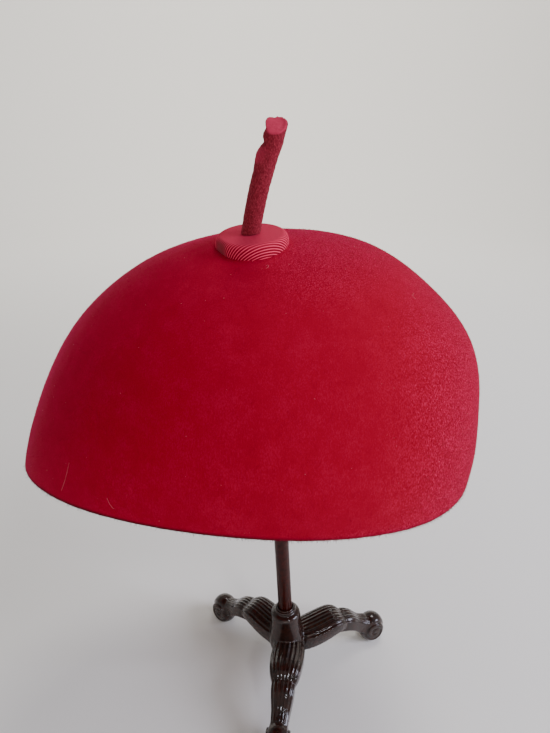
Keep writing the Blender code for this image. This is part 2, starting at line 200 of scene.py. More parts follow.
# %% Points
def read_points(mesh, name="co"):
    flat = np.empty(3 * len(mesh.vertices))
    mesh.vertices.foreach_get(name, flat)
    return flat.reshape(-1, 3)


def move_points(mesh, points):
    mesh.vertices.foreach_set("co", points.astype(np.float32).ravel())
    mesh.update()


def push_points(mesh, distance):
    """Moves each point along its normal by its own distance."""
    move_points(mesh, read_points(mesh) + distance[:, None] * read_points(mesh, "normal"))


def lumps(points, size, seed):
    """Smooth noise from -1 to 1 at each point, with lumps of about the given size."""
    shift = Vector((3.1 * seed, 1.7 * seed, 0.9 * seed))
    return np.array([noise.noise(Vector(point) / size + shift) for point in points])


def ease(values, low, high):
    """Goes smoothly from 0 at the low value to 1 at the high one."""
    share = np.clip((np.asarray(values) - low) / (high - low), 0.0, 1.0)
    return share * share * (3.0 - 2.0 * share)


def put_attribute(mesh, name, values):
    attribute = mesh.attributes.new(name, "FLOAT", "POINT")
    attribute.data.foreach_set("value", np.asarray(values, np.float32))


# %% Round copies
def rounded_copy(name, node, finish, levels, sharp):
    """A CAD node with its facets made round. Edges sharper than an angle in degrees stay sharp.

    Subdivision pulls a surface inside its corners. So each corner first moves out by as much as a
    first try pulls it in, and the round surface then passes through the CAD's own points.
    """
    built = merged_copy(node)
    bmesh.ops.join_triangles(
        built, faces=built.faces, angle_face_threshold=0.8, angle_shape_threshold=3.14
    )
    crease = built.edges.layers.float.new("crease_edge")
    for edge in built.edges:
        if edge.calc_face_angle(0.0) > math.radians(sharp):
            edge[crease] = 1.0
    shape = new_object(name, to_mesh(built, name), finish)
    coarse = shape.data
    corners = read_points(coarse)
    rounding = ("SUBSURF", {"levels": levels, "render_levels": levels})
    pulled_in = read_points(applied(shape, rounding).data)[: len(corners)]
    move_points(coarse, 2.0 * corners - pulled_in)
    shape.data = coarse
    applied(shape, rounding)
    shape.data.shade_smooth()
    shape.data.set_sharp_from_angle(angle=math.radians(sharp))
    return shape


# %% One body for every piece
def ride(piece):
    """Puts the piece on the one rigid body that this object has."""
    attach(piece, "root")
    triangles = sum(len(face.vertices) - 2 for face in piece.data.polygons)
    print(piece.name, triangles, "triangles")


# %% [markdown]
# ## Where the camera stands
#
# A camera can be placed in world numbers, but then it misses when the object moves. The middle of
# the stand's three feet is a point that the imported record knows, so the camera is placed from it.
# A wide lens close above the table gives the strong view down on the stand.

# %% Camera
CAMERA_OFFSET = Vector((-9.83, -252.2, 306.5)) * MM
CAMERA_DOWN = math.radians(23.2)
CAMERA_LENS = 28.0


def build_camera():
    feet = [Vector(mount["pos_m"]) for mount in frame["record"]["mounts"]]
    data = bpy.data.cameras.new("camera")
    data.lens = CAMERA_LENS
    data.sensor_width = 36.0
    data.clip_start = 0.01
    camera = bpy.data.objects.new("camera", data)
    camera.location = sum(feet, Vector()) / len(feet) + CAMERA_OFFSET
    camera.rotation_euler = (0.5 * math.pi - CAMERA_DOWN, 0.0, 0.0)
    bpy.context.scene.collection.objects.link(camera)
    bpy.context.scene.camera = camera
    print("camera", [round(1000 * side) for side in camera.location], "mm")


build_camera()

# %% [markdown]
# ## A pale room
#
# A photographer would stand this on a sheet of paper that curves up behind it. A bent plane would
# do for one view. A wide turned dish does the same from every side: flat in the middle, rising
# far away. Its paper has next to no gloss, so the eye sees only the soft shadow on it.

# %% Floor
FLOOR_FLAT = 1.6
FLOOR_RISE = 1.4
FLOOR_STEPS = 12
FLOOR_SIDES = 96


def build_floor():
    paper = {"Roughness": 0.95, "Specular_IOR_Level": 0.1, "Base_Color": srgb("#f0ede8")}
    made, tree, shader, place = material("matt_paper", **paper)
    profile = [(0.0, 0.0), (0.5 * FLOOR_FLAT, 0.0), (FLOOR_FLAT, 0.0)]
    for step in range(1, FLOOR_STEPS + 1):
        angle = 0.5 * math.pi * step / FLOOR_STEPS
        reach = FLOOR_FLAT + FLOOR_RISE * math.sin(angle)
        profile.append((reach, FLOOR_RISE * (1.0 - math.cos(angle))))
    built = bmesh.new()
    verts = [built.verts.new((reach, 0.0, level)) for reach, level in profile]
    edges = [built.edges.new(pair) for pair in zip(verts, verts[1:])]
    turn = {"axis": (0, 0, 1), "cent": (0, 0, 0), "steps": FLOOR_SIDES, "angle": 2.0 * math.pi}
    bmesh.ops.spin(built, geom=verts + edges, **turn)
    bmesh.ops.remove_doubles(built, verts=built.verts, dist=0.0001)
    bmesh.ops.recalc_face_normals(built, faces=built.faces)
    floor = new_object("floor", to_mesh(built, "floor"), made)
    floor.data.shade_smooth()
    print("floor", FLOOR_FLAT + FLOOR_RISE, "m from its middle to its edge")


build_floor()

# %% [markdown]
# ## Light
#
# Daylight comes from the right, so the left of the hat falls into a deeper red. The felt's nap
# catches the window along its right edge and its top, which is what makes felt look like felt.
# One sun lamp could do this, but its shadows would be hard, and area lights are soft. A small one
# in front gives the enamel its glints, and a wide one brightens the paper behind.

# %% Lights
hat_middle = 0.5 * sum(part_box("felt_crown"), Vector())


def area_light(name, offset, size, power, colour, aim=(0.0, 0.0, 0.0)):
    """A soft light at an offset from the hat, in metres, turned to face it or another offset."""
    light = bpy.data.lights.new(name, "AREA")
    light.size = size
    light.energy = power
    light.color = srgb(colour)[:3]
    lamp = bpy.data.objects.new(name, light)
    lamp.location = hat_middle + Vector(offset)
    lamp.rotation_euler = (Vector(aim) - Vector(offset)).to_track_quat("-Z", "Y").to_euler()
    bpy.context.scene.collection.objects.link(lamp)


# Each has a name, an offset and a size in metres, a power in watts and a colour.
area_light("window", (1.15, -0.30, 0.45), 0.65, 17.0, "#e6e9ff")
area_light("overhead", (0.25, 0.35, 1.1), 0.4, 5.0, "#ffffff")
area_light("front_fill", (-0.1, -1.2, -0.02), 1.0, 4.0, "#fff2ea")
area_light("glints", (0.45, -0.9, 0.75), 0.13, 2.2, "#f2f5ff")
area_light("backdrop", (0.0, 1.2, 1.5), 1.5, 46.0, "#fffdf8", (0.0, 2.9, 0.3))
world = bpy.data.worlds.new("room")
world.use_nodes = True
background = world.node_tree.nodes["Background"]
background.inputs["Color"].default_value = srgb("#f0eeec")
background.inputs["Strength"].default_value = 0.35
bpy.context.scene.world = world
print(len(bpy.data.lights), "lights round", [round(1000 * side) for side in hat_middle], "mm")

# %% [markdown]
# ## Blocked wool felt
#
# Felt has no weave. Wet wool is pressed over a wooden block until its fibres lock, and then it is
# brushed. The eye reads it by three things: a deep colour that is a little uneven, a fine grain,
# and a short nap that glows where light grazes it. A picture of felt could be laid on, but it
# would repeat. Here noise makes the first two and sheen the third. On the right, at the top and
# near the rim, the flecks are painted stronger and the felt lighter, which is painted light. A
# dark line of painted shade runs along the cut edge. The crown carries both as numbers.

# %% Felt finish
# The brush went over the felt at a slant, so its flecks are short strokes.
BRUSH_TURN = (0.3, 0.5, 0.0)
BRUSH_STRETCH = (1.0, 1.0, 0.45)
# The soft patches in the colour are this many flecks wide, and the flecks have this share of it.
PATCH_FLECKS = 20.0
FLECK_SHARE = 0.95
# The light stop lies nearer the middle, so where the flecks show the felt is painted lighter on the
# whole.
FELT_STOPS = (0.39, 0.50, 0.59)
# Painted shade: the crown's cut edge is darkened to this colour, as its rounded edge in shadow.
PAINTED_RIM_SHADE = "#38000a"


def felt_finish(name, colours, sheen, weight, grain):
    made, tree, shader, place = material(
        name,
        Roughness=0.95,
        Specular_IOR_Level=0.1,
        Sheen_Weight=weight,
        Sheen_Roughness=0.34,
        Sheen_Tint=srgb(sheen),
    )
    mottle = grains(tree, place, PATCH_FLECKS * grain, 4.0)
    strokes = {"Vector": place, "Rotation": BRUSH_TURN, "Scale": BRUSH_STRETCH}
    brushed = add(tree, "ShaderNodeMapping", strokes).outputs[0]
    fleck = grains(tree, brushed, grain, 3.0, 0.7)
    grain_and_painted_light, rim = (
        add(tree, "ShaderNodeAttribute", attribute_name=name).outputs["Fac"]
        for name in ("grain_and_painted_light", "rim")
    )
    # Where this number is high, the flecks are painted stronger and lighter: painted light, on real
    # grain.
    nap = add(tree, "ShaderNodeMix", {0: grain_and_painted_light, 2: 0.5, 3: fleck}).outputs[0]
    mixed = add(tree, "ShaderNodeMix", {0: FLECK_SHARE, 2: mottle, 3: nap}).outputs[0]
    colour = ramp(tree, mixed, tuple(zip(FELT_STOPS, colours)))
    # The rim number mixes in the painted shade along the cut edge.
    surface(tree, shader, blend(tree, rim, colour, srgb(PAINTED_RIM_SHADE)), nap, 0.6 * MM, 0.9)
    return made


# A wool fibre is a fiftieth of a millimetre thick, which is too fine to show, so the grain is drawn
# as wide as a tuft of fibres.
CROWN_GRAIN = 0.44 * MM
CROWN_REDS = ("#7c000e", "#9a0022", "#c81e4c")
red_felt = felt_finish("blocked_wool_felt", CROWN_REDS, "#ff2c88", 0.29, CROWN_GRAIN)
print("felt", red_felt.name, "with a grain of", round(1000 * CROWN_GRAIN, 2), "mm")

# %% [markdown]
# ## The crown
#
# The crown is one piece of felt, shaped on a block, with a cut rim and no brim. It could be
# modelled again here, but the CAD crown already has its form, as a coarse shell. Its copy is
# turned back from triangles into squares and subdivided, which keeps the form and makes it
# smooth. Then every point moves a little along its normal, because a block and an iron leave a
# soft unevenness that is never regular.

# %% Where the crown's felt is painted lighter and darker
# Shares of the crown's width from the left, and of its height from the rim, between which the
# felt's flecks are painted stronger and lighter, which is painted light.
RIGHT_ZONE = (0.70, 0.95)
RIM_ZONE, RIM_BAND, RIM_STRENGTH = (0.3, 0.7), (-0.14, -0.04), 0.9
TOP_ZONE, TOP_BAND, TOP_STRENGTH = (0.50, 0.62), (0.80, 0.95), 0.6
PATCH_SIZE = 12.0 * MM
# The painted shade on the cut edge fades out this far up the wall.
RIM_SHADE_REACH = 2.2 * MM


def painted_light_and_grain_share(points):
    """Painted light with real grain: smooth on the left, lighter and grainier on the right, at the
    top and near the rim.
    """
    low, high = (np.array(corner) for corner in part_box("felt_crown"))
    share = (points - low) / (high - low)
    right = ease(share[:, 0], *RIGHT_ZONE)
    near_rim = RIM_STRENGTH * ease(share[:, 0], *RIM_ZONE) * ease(-share[:, 2], *RIM_BAND)
    near_top = TOP_STRENGTH * ease(share[:, 0], *TOP_ZONE) * ease(share[:, 2], *TOP_BAND)
    patchy = 0.85 + 0.15 * lumps(points, PATCH_SIZE, SEED + 4)
    return np.clip(0.10 + patchy * np.max((right, near_rim, near_top), axis=0), 0.0, 1.0)


def side_share(points):
    """Nothing at the left of the crown and one at its right."""
    low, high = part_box("felt_crown")
    return (points[:, 0] - low.x) / (high.x - low.x)


def painted_rim_shade(points, normals):
    """Painted shade: one on the cut edge and nothing a little way up the wall. It is fainter on the
    right, where the light falls.
    """
    cut = points[normals[:, 2] < -0.6]
    tree = kdtree.KDTree(len(cut))
    for index, point in enumerate(cut):
        tree.insert(point, index)
    tree.balance()
    away = np.array([tree.find(point)[2] for point in points])
    fainter = 1.0 - 0.6 * ease(side_share(points), 0.4, 0.8)
    return (1.0 - ease(away, 0.2 * MM, RIM_SHADE_REACH)) * fainter


# %% Crown
DENT_SIZE = 38.0 * MM
DENT_DEPTH = 0.35 * MM
RIPPLE_SIZE = 4.0 * MM
RIPPLE_DEPTH = 0.07 * MM


def build_crown():
    crown = rounded_copy("crown", "felt_crown", red_felt, levels=2, sharp=180.0)
    points = read_points(crown.data)
    push = DENT_DEPTH * lumps(points, DENT_SIZE, SEED)
    push += RIPPLE_DEPTH * lumps(points, RIPPLE_SIZE, SEED + 1)
    push_points(crown.data, push)
    # Painted light: lighter, grainier felt on the right, at the top and near the rim.
    put_attribute(crown.data, "grain_and_painted_light", painted_light_and_grain_share(points))
    # The cut edge carries its painted shade as a number.
    put_attribute(crown.data, "rim", painted_rim_shade(points, read_points(crown.data, "normal")))
    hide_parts("felt_crown")
    ride(crown)
    return crown


crown = build_crown()
felt_surface = BVHTree.FromPolygons(
    [vert.co.copy() for vert in crown.data.vertices],
    [tuple(face.vertices) for face in crown.data.polygons],
)

# %% [markdown]
# ## The nap
#
# Brushing lifts the ends of the wool fibres. Each is far thinner than a millimetre, but together
# they soften the outline of the hat. Hair curves would do, but the export drops them. Geometry
# nodes scatter small cones over the outside of the felt, each leaning its own way, and more of
# them along the cut rim, where the wool is open.

# %% Parts of any geometry tree
def sockets(tree, kinds):
    """Names a geometry tree's inputs. It takes geometry and gives geometry back."""
    tree.interface.new_socket("Geometry", in_out="INPUT", socket_type="NodeSocketGeometry")
    for name, kind in kinds.items():
        tree.interface.new_socket(name, in_out="INPUT", socket_type="NodeSocket" + kind)
    tree.interface.new_socket("Geometry", in_out="OUTPUT", socket_type="NodeSocketGeometry")
    return add(tree, "NodeGroupInput").outputs


def finish_tree(tree, geometry, finish):
    real = add(tree, "GeometryNodeRealizeInstances", {"Geometry": geometry}).outputs[0]
    dressed = add(tree, "GeometryNodeSetMaterial", {"Geometry": real, "Material": finish})
    add(tree, "NodeGroupOutput", {"Geometry": dressed.outputs[0]})
    return tree


def carried(tree, name):
    """A number that the surface carries on its points."""
    values = {"Name": name}
    return add(tree, "GeometryNodeInputNamedAttribute", values, data_type="FLOAT").outputs[0]


# %% The tree of fibres
def fibre_tree():
    """Scatters fibres over a surface, by a density that the surface carries as nap."""
    tree = bpy.data.node_groups.new("fibres", "GeometryNodeTree")
    kinds = {"Density": "Float", "Length": "Float", "Thickness": "Float", "Lean": "Float"}
    given = sockets(tree, {**kinds, "Seed": "Int", "Material": "Material"})
    dense = {0: carried(tree, "nap"), 1: given["Density"]}
    density = add(tree, "ShaderNodeMath", dense, operation="MULTIPLY").outputs[0]
    scatter = {"Mesh": given["Geometry"], "Density": density, "Seed": given["Seed"]}
    points = add(tree, "GeometryNodeDistributePointsOnFaces", scatter)
    size = {"Vertices": 3, "Radius Bottom": given["Thickness"], "Depth": given["Length"]}
    cone = add(tree, "GeometryNodeMeshCone", size, fill_type="NGON").outputs["Mesh"]
    back = add(tree, "ShaderNodeMath", {0: given["Lean"], 1: -1.0}, operation="MULTIPLY")
    turns = {0: back.outputs[0], 1: given["Lean"], "Seed": given["Seed"]}
    turn = add(tree, "FunctionNodeRandomValue", turns, data_type="FLOAT_VECTOR").outputs[0]
    tilt = add(tree, "FunctionNodeEulerToRotation", {0: turn}).outputs[0]
    facing = {"Rotation": points.outputs["Rotation"], "Rotate By": tilt}
    turned = add(tree, "FunctionNodeRotateRotation", facing, rotation_space="LOCAL").outputs[0]
    scale = add(tree, "FunctionNodeRandomValue", {2: 0.5, 3: 1.2}, data_type="FLOAT").outputs[1]
    placed = {"Points": points.outputs["Points"], "Instance": cone}
    placed.update({"Rotation": turned, "Scale": scale})
    fibres = add(tree, "GeometryNodeInstanceOnPoints", placed).outputs["Instances"]
    return finish_tree(tree, fibres, given["Material"])


fibres = fibre_tree()
print("fibres", len(fibres.nodes), "nodes")

# %% Nap on the crown
# Real fibres are half as thick, but those would not show.
NAP_LENGTH, NAP_THICKNESS, NAP_LEAN = 0.55 * MM, 0.045 * MM, 0.9
FUZZ_LENGTH, FUZZ_THICKNESS, FUZZ_LEAN = 1.4 * MM, 0.06 * MM, 1.1
NAP_COUNT, FUZZ_COUNT = 40000, 9000


def outside_share(mesh):
    """One on the outside of the hat, the cut rim among it, and nothing inside."""
    outward = read_points(mesh, "normal") * (read_points(mesh) - np.array(hat_middle))
    return (outward.sum(1) > 0.0).astype(float)


def build_nap(name, finish, count, share, length, thickness, lean, seed):
    """Fibres over the crown, about so many in all, spread as the share says."""
    nap = new_object(name, crown.data.copy(), finish)
    put_attribute(nap.data, "nap", share)
    area = sum(face.area * share[face.vertices[0]] for face in nap.data.polygons)
    sizes = {"Length": length, "Thickness": thickness, "Lean": lean}
    run_tree(nap, fibres, {"Density": count / area, "Seed": seed, "Material": finish, **sizes})
    ride(nap)


outside = outside_share(crown.data)
rim_share = outside * ease(-read_points(crown.data, "normal")[:, 2], 0.1, 0.8)
rim_share *= 0.3 + 0.7 * ease(side_share(read_points(crown.data)), 0.35, 0.75)
build_nap("nap", red_felt, NAP_COUNT, outside, NAP_LENGTH, NAP_THICKNESS, NAP_LEAN, SEED)
fuzz = (FUZZ_COUNT, rim_share, FUZZ_LENGTH, FUZZ_THICKNESS, FUZZ_LEAN, SEED + 1)
build_nap("rim_fuzz", red_felt, *fuzz)

# %% [markdown]
# ## Lint
#
# Felt holds on to whatever touches it: a few pale specks, and four loose fibres that are long
# enough to see. Painted lines would lie in the wool and not on it. So each fibre is a curve laid
# down onto the crown, with a thin round body, and the specks use the tree of fibres again.

# %% Lint
# Stray threads are a few hundredths of a millimetre thick, and are drawn thicker to show.
LINT_THICKNESS = 0.12 * MM
LINT_FLECK = 1.0 * MM
SPECK_LENGTH, SPECK_THICKNESS, SPECK_LEAN = 0.5 * MM, 0.11 * MM, 1.5
SPECK_COUNT = 260
# Each row is one loose fibre: its points as millimetres right of the crown's middle, behind it, and
# above the crown's lowest point. The points are laid down onto the felt.
LOOSE_FIBRES = (
    ((-65.7, -64.3, 35.3), (-66.7, -64.2, 32.3), (-68.5, -63.9, 27.2), (-71.3, -62.6, 21.6)),
    ((-50.2, -73.7, 26.0), (-49.5, -73.9, 22.6), (-47.9, -74.4, 21.6)),
    ((8.5, -36.8, 104.0), (9.2, -36.2, 104.2), (9.4, -38.0, 103.5), (8.5, -38.3, 103.4)),
    ((66.5, -30.5, 91.7), (64.6, -33.8, 91.5), (66.8, -33.5, 90.2)),
)


def lint_finish():
    """Stray cotton that took up the red: paler than the felt, so the eye picks it out."""
    pale = {"Roughness": 0.9, "Sheen_Weight": 0.4, "Sheen_Tint": srgb("#ffd0d8")}
    made, tree, shader, place = material("pale_lint", **pale)
    fleck = grains(tree, place, LINT_FLECK)
    surface(tree, shader, ramp(tree, fleck, ((0.3, "#b8203c"), (0.7, "#d8607a"))), fleck, 0.05 * MM)
    return made


def lay_down(point):
    """The place on the felt nearest to a point that is measured from the crown's box."""
    low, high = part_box("felt_crown")
    right, back, up = (value * MM for value in point)
    guess = Vector((0.5 * (low.x + high.x) + right, 0.5 * (low.y + high.y) + back, low.z + up))
    place, normal = felt_surface.find_nearest(guess)[:2]
    return place + 0.4 * LINT_THICKNESS * normal


# %% Loose fibres
def build_lint():
    curve = bpy.data.curves.new("loose_fibres", "CURVE")
    curve.dimensions = "3D"
    curve.bevel_depth = 0.5 * LINT_THICKNESS
    curve.bevel_resolution = 1
    curve.use_fill_caps = True
    for row in LOOSE_FIBRES:
        spline = curve.splines.new("NURBS")
        spline.points.add(len(row) - 1)
        for point, place in zip(spline.points, row):
            point.co = (*lay_down(place), 1.0)
        spline.order_u = 3
        spline.use_endpoint_u = True
    made = bpy.data.objects.new("loose_fibres", curve)
    bpy.context.scene.collection.objects.link(made)
    bpy.context.view_layer.update()
    graph = bpy.context.evaluated_depsgraph_get()
    mesh = bpy.data.meshes.new_from_object(made.evaluated_get(graph))
    bpy.data.objects.remove(made)
    ride(new_object("loose_fibres", mesh, pale_lint))


pale_lint = lint_finish()
build_lint()
specks = (SPECK_COUNT, outside, SPECK_LENGTH, SPECK_THICKNESS, SPECK_LEAN, SEED + 5)
build_nap("lint_specks", pale_lint, *specks)

# %% [markdown]
# ## The ribbed button
#
# Ribbed cloth is drawn over a disc and gathered behind it, with a smooth fold at the left. On top
# the ribs lie flat. Where the cloth turns down over the edge, each rib goes on along its own line
# in the cloth, so the ribs run round the wall on one side and down it on another. Loops cut round
# the disc would miss that. A rib is found here from where a point lay in the flat cloth: its
# distance from the middle, measured over the edge, and its direction.

# %% Cloth finish
# Between the ribs run single threads, each about this thick.
COTTON_THREAD = 0.35 * MM


def cloth_finish():
    """Corded cotton, with a painted highlight on each rib and painted shade between them, a lighter
    top as painted light, and brown where it is folded.
    """
    made, tree, shader, place = material(
        "ribbed_cotton",
        Roughness=0.85,
        Specular_IOR_Level=0.15,
        Sheen_Weight=0.1,
        Sheen_Roughness=0.4,
        Sheen_Tint=srgb("#ff7090"),
    )
    ridge, top, join = (
        add(tree, "ShaderNodeAttribute", attribute_name=name).outputs["Fac"]
        for name in ("ridge", "top", "join")
    )
    # Painted highlight on the rib crests and painted shade in the grooves of the wall. The top gets
    # a lighter, calmer red as painted light.
    side = ramp(tree, ridge, ((0.35, "#84001c"), (0.75, "#b01236"), (0.95, "#ff4c72")))
    above = ramp(tree, ridge, ((0.10, "#ae1a38"), (0.90, "#c22c4c")))
    colour = blend(tree, join, blend(tree, top, side, above), srgb("#8c2838"))
    surface(tree, shader, colour, grains(tree, place, COTTON_THREAD), 0.1 * MM, 0.5)
    return made


# %% The disc under the cloth
BUTTON_AROUND = 440
BUTTON_OUT = 120
BUTTON_WALL = 30
EDGE_ROUND = 2.4 * MM
TOP_RISE = 0.3 * MM
WALL_SWELL = 0.2 * MM
SINK = 0.35 * MM


def disc_place(node):
    """The middle of the disc's top, its turn and its radius, measured on the CAD node."""
    built = merged_copy(node)
    level = [face for face in built.faces if face.normal.z > 0.9]
    axis = max(level, key=lambda face: face.calc_area() * (face.normal.z - 0.9)).normal
    back = axis.cross(Vector((1.0, 0.0, 0.0))).normalized()
    turn = Matrix((back.cross(axis), back, axis)).transposed()
    local = [turn.transposed() @ vert.co for vert in built.verts]
    built.free()
    low, high = Vector(map(min, *local)), Vector(map(max, *local))
    middle = turn @ Vector((0.5 * (low.x + high.x), 0.5 * (low.y + high.y), high.z))
    return middle, turn, 0.5 * (high.x - low.x)


button_top, button_turn, button_radius = disc_place("ribbed_button")
button_axis = button_turn @ Vector((0.0, 0.0, 1.0))
print("button", round(2000 * button_radius, 1), "mm across")


def button_point(angle, reach, level):
    flat = Vector((reach * math.cos(angle), reach * math.sin(angle), level))
    return button_top + button_turn @ flat


def felt_level(angle):
    """How far under the button's top the crown's felt lies, at an angle on the button's wall."""
    above = button_point(angle, button_radius, 20.0 * MM)
    return (felt_surface.ray_cast(above, -button_axis)[0] - button_top).dot(button_axis)


# %% Rows of the cloth
def button_rows():
    """Distance along the cloth, reach from the axis and level, from the middle to the edge."""
    flat = button_radius - EDGE_ROUND
    whole = flat + 0.5 * math.pi * EDGE_ROUND
    rows = []
    for step in range(1, BUTTON_OUT + 1):
        along = whole * step / BUTTON_OUT
        bend = max(0.0, along - flat) / EDGE_ROUND
        dome = TOP_RISE * min(1.0, along / flat) ** 2
        reach = min(along, flat) + EDGE_ROUND * math.sin(bend)
        rows.append((along, reach, -dome - EDGE_ROUND * (1.0 - math.cos(bend))))
    return rows


def ring_faces(around, rings):
    """Faces of a closed form: a first point, rings of points round an axis and a last point."""
    faces = []
    last = 1 + (rings - 1) * around
    for index in range(around):
        after = (index + 1) % around
        faces.append((0, 1 + index, 1 + after))
        faces.append((last + after, last + index, last + around))
        for low in range(1, last, around):
            faces.append((low + index, low + around + index, low + around + after, low + after))
    return faces


# %% Cloth over the disc
RIB_FACING = math.radians(-66.0)
JOIN_FACING = math.radians(-150.0)
JOIN_WIDTH = math.radians(16.0)
JOIN_DEPTH = 0.4 * MM
# The cloth's edge starts at this share of the radius and is all there this much further out.
EDGE_START, EDGE_WIDTH = 0.8, 0.25


def build_button():
    rows = button_rows()
    turns = [2.0 * math.pi * index / BUTTON_AROUND for index in range(BUTTON_AROUND)]
    feet = [felt_level(angle) - SINK for angle in turns]
    whole, widest, edge_level = rows[-1]
    verts, cloth, top, join = [button_top.copy()], [0.0], [1.0], [0.0]
    for row in range(BUTTON_OUT + BUTTON_WALL):
        for angle, foot in zip(turns, feet):
            if row < BUTTON_OUT:
                along, reach, level = rows[row]
            else:
                share = (row + 1 - BUTTON_OUT) / BUTTON_WALL
                drop = share * (edge_level - foot)
                reach = widest + WALL_SWELL * math.sin(math.pi * share)
                along, level = whole + drop, edge_level - drop
            off = (angle - JOIN_FACING + math.pi) % (2.0 * math.pi) - math.pi
            edge = min(1.0, max(0.0, (along / button_radius - EDGE_START) / EDGE_WIDTH))
            fold = edge * math.exp(-((off / JOIN_WIDTH) ** 4))
            verts.append(button_point(angle, reach - JOIN_DEPTH * fold, level))
            cloth.append(along * math.cos(angle - RIB_FACING))
            top.append(1.0 - edge)
            join.append(fold)
    verts.append(button_point(0.0, 0.0, min(feet)))
    mesh = bpy.data.meshes.new("button")
    mesh.from_pydata(verts, [], ring_faces(BUTTON_AROUND, BUTTON_OUT + BUTTON_WALL))
    for name, values in (("cloth", cloth), ("top", top), ("join", join)):
        put_attribute(mesh, name, [*values, 0.0])
    return new_object("button", mesh, cloth_finish())


button = build_button()

# %% Ribs
RIB_PITCH = 1.05 * MM
RIB_HEIGHT = 0.24 * MM
RIB_WANDER = 0.30 * MM


def rib_tree():
    """Raises ribs on a surface that carries its place in the cloth."""
    tree = bpy.data.node_groups.new("ribs", "GeometryNodeTree")
    kinds = {"Rib pitch": "Float", "Rib height": "Float", "Wander": "Float"}
    given = sockets(tree, {**kinds, "Material": "Material"})

    def work(operation, first, second=0.0):
        return add(tree, "ShaderNodeMath", {0: first, 1: second}, operation=operation).outputs[0]

    place = add(tree, "GeometryNodeInputPosition").outputs[0]
    drift = work("SUBTRACT", grains(tree, place, 5.0 * MM, 2.0), 0.5)
    line = work("ADD", carried(tree, "cloth"), work("MULTIPLY", drift, given["Wander"]))
    turns = work("MULTIPLY", work("DIVIDE", line, given["Rib pitch"]), math.pi)
    ridge = work("POWER", work("ABSOLUTE", work("SINE", turns)), 1.4)
    calm = work("SUBTRACT", 1.0, work("MULTIPLY", carried(tree, "top"), 0.75))
    plain = work("SUBTRACT", 1.0, carried(tree, "join"))
    height = work("MULTIPLY", work("MULTIPLY", calm, plain), given["Rib height"])
    normal = add(tree, "GeometryNodeInputNormal").outputs[0]
    lift = {0: normal, "Scale": work("MULTIPLY", ridge, height)}
    offset = add(tree, "ShaderNodeVectorMath", lift, operation="SCALE").outputs[0]
    note = {"Geometry": given["Geometry"], "Name": "ridge", "Value": ridge}
    stored = add(tree, "GeometryNodeStoreNamedAttribute", note, data_type="FLOAT").outputs[0]
    moved = add(tree, "GeometryNodeSetPosition", {"Geometry": stored, "Offset": offset})
    return finish_tree(tree, moved.outputs[0], given["Material"])


# %% The button with its ribs
rib_sizes = {"Rib pitch": RIB_PITCH, "Rib height": RIB_HEIGHT, "Wander": RIB_WANDER}
run_tree(button, rib_tree(), {**rib_sizes, "Material": button.data.materials[0]})
button.data.shade_smooth()
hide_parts("ribbed_button")
ride(button)

# %% [markdown]
# ## The stalk
#
# A strip of felt is rolled tight and cut off at a slant. The end of the strip shows as a flap on
# the left, with two swellings where it was pinched. Sculpting by hand could make them, but not
# twice alike. The copy is remade from small, even squares, and a table says how far each height
# of it is pushed out, so the swellings and the noise of the wool move into the mesh.

# %% Sizes of the stalk
STALK_CELL = 0.28 * MM
# Each row is one noise in the wool: the size of its lumps and their depth, in millimetres.
WOOL_LUMPS = ((1.5, 0.14), (0.6, 0.07))
# One row for each height on the stalk: its share of the length, how far the left side is pushed
# out there, and how far the right side is, in millimetres.
PINCHES = (
    (0.000, 0.15, 0.0),
    (0.050, 0.00, 0.0),
    (0.600, 0.00, 0.0),
    (0.660, 0.35, 0.0),
    (0.710, 0.55, 0.0),
    (0.770, 0.10, 0.1),
    (0.805, -0.45, 0.2),
    (0.840, 0.20, 0.2),
    (0.875, 0.25, 0.4),
    (0.915, -0.50, 0.7),
    (0.950, 0.10, 0.9),
    (1.000, -0.10, 1.0),
)
# The flap's end, painted brighter as painted light, starts and stops between these shares of the
# length.
FLAP_FOOT, FLAP_HEAD = (0.62, 0.66), (-0.78, -0.74)
# The back left corner of the cut is square, because the strip ends there. It moves by this much.
CORNER_PULL = np.array((-0.5, 0.3, 0.8)) * MM


# %% Stalk finish
STALK_GRAIN = 0.4 * MM
STALK_REDS = ("#5c0e1c", "#80202e", "#9e3646")


def stalk_finish():
    """The same felt, faded and handled, with the slanted cut at the tip and the flap's left face
    painted brighter, as painted light.
    """
    made = felt_finish("rolled_felt", STALK_REDS, "#f07088", 0.4, STALK_GRAIN)
    tree = made.node_tree
    colour = tree.nodes["Principled BSDF"].inputs["Base Color"]
    body = colour.links[0].from_socket
    cut = add(tree, "ShaderNodeAttribute", attribute_name="cut").outputs["Fac"]
    # Painted light: the cut at the tip and the flap's left face are lightened.
    tree.links.new(blend(tree, cut, body, srgb("#ba3450")), colour)
    return made


def stalk_cut():
    """A point on the slanted cut at the stalk's tip, and the way that the cut faces."""
    built = merged_copy("felt_stalk")
    up_facing = [face for face in built.faces if face.normal.z > 0.5]
    tip = max(up_facing, key=lambda face: face.calc_center_median().z)
    place, facing = np.array(tip.calc_center_median()), np.array(tip.normal)
    built.free()
    return place, facing


